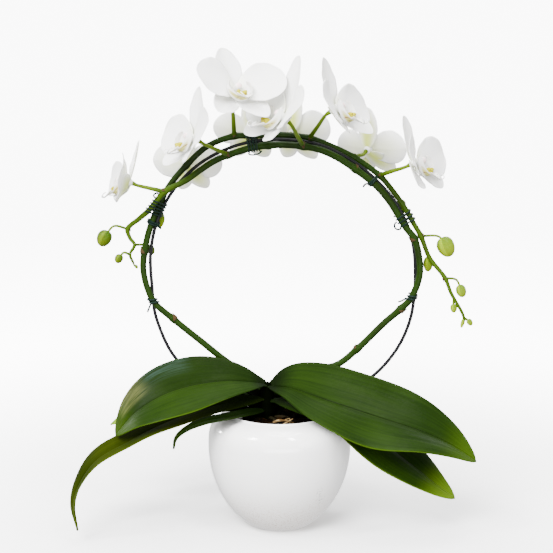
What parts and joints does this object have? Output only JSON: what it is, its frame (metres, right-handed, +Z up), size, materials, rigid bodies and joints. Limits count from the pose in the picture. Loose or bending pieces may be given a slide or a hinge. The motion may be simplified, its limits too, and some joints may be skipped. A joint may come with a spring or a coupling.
{
  "type": "potted moth orchid",
  "caption": "White moth orchid with its flower spikes tied round a wire hoop, and broad arching leaves, in a round white glazed pot.",
  "frame": {"origin": "middle of the pot's flat foot, where it rests", "axes": "+Z up, the height; the hoop lies across X, facing -Y, which is the front and the shortest way through the plant"},
  "size_m": [0.4007, 0.1597, 0.4786],
  "materials": {
    "glaze": "gloss white glaze",
    "grow_pot": "dark brown plastic",
    "bark": "damp bark chips",
    "root": "matt grey-green air roots",
    "leaf": "glossy dark green leaf",
    "leaf_old": "satin olive-green leaf",
    "spike": "satin green stem with brown nodes",
    "wire": "black coated wire",
    "petal": "soft white petal",
    "callus": "waxy yellow",
    "tie": "dark blue-green plastic-coated wire"
  },
  "bodies": {
    "root": {"ceramic_pot": "glaze", "grow_pot": "grow_pot", "wire_hoop": "wire", "stem_and_roots": "root", "potting_bark": "bark", "leaf_left_upper": "leaf", "leaf_right_upper": "leaf", "leaf_left_lower": "leaf_old", "leaf_right_lower": "leaf", "leaf_left_small": "leaf", "leaf_left_back": "leaf", "flower_spike_left": "spike", "flower_spike_right": "spike", "bloom_1": "petal", "bloom_2": "petal", "bloom_3": "petal", "bloom_4": "petal", "bloom_5": "petal", "bloom_6": "petal", "bloom_7": "petal", "bloom_8": "petal", "bloom_9": "petal", "bloom_10": "petal", "callus_1": "callus", "callus_2": "callus", "callus_3": "callus", "callus_4": "callus", "callus_5": "callus", "callus_6": "callus", "callus_7": "callus", "callus_8": "callus", "callus_9": "callus", "callus_10": "callus", "tie_top": "tie", "tie_left_coil": "tie", "tie_left_clip": "tie", "tie_left_low": "tie", "tie_right_clip": "tie", "tie_right_coil": "tie", "tie_right_low": "tie"}
  },
  "joints": []
}
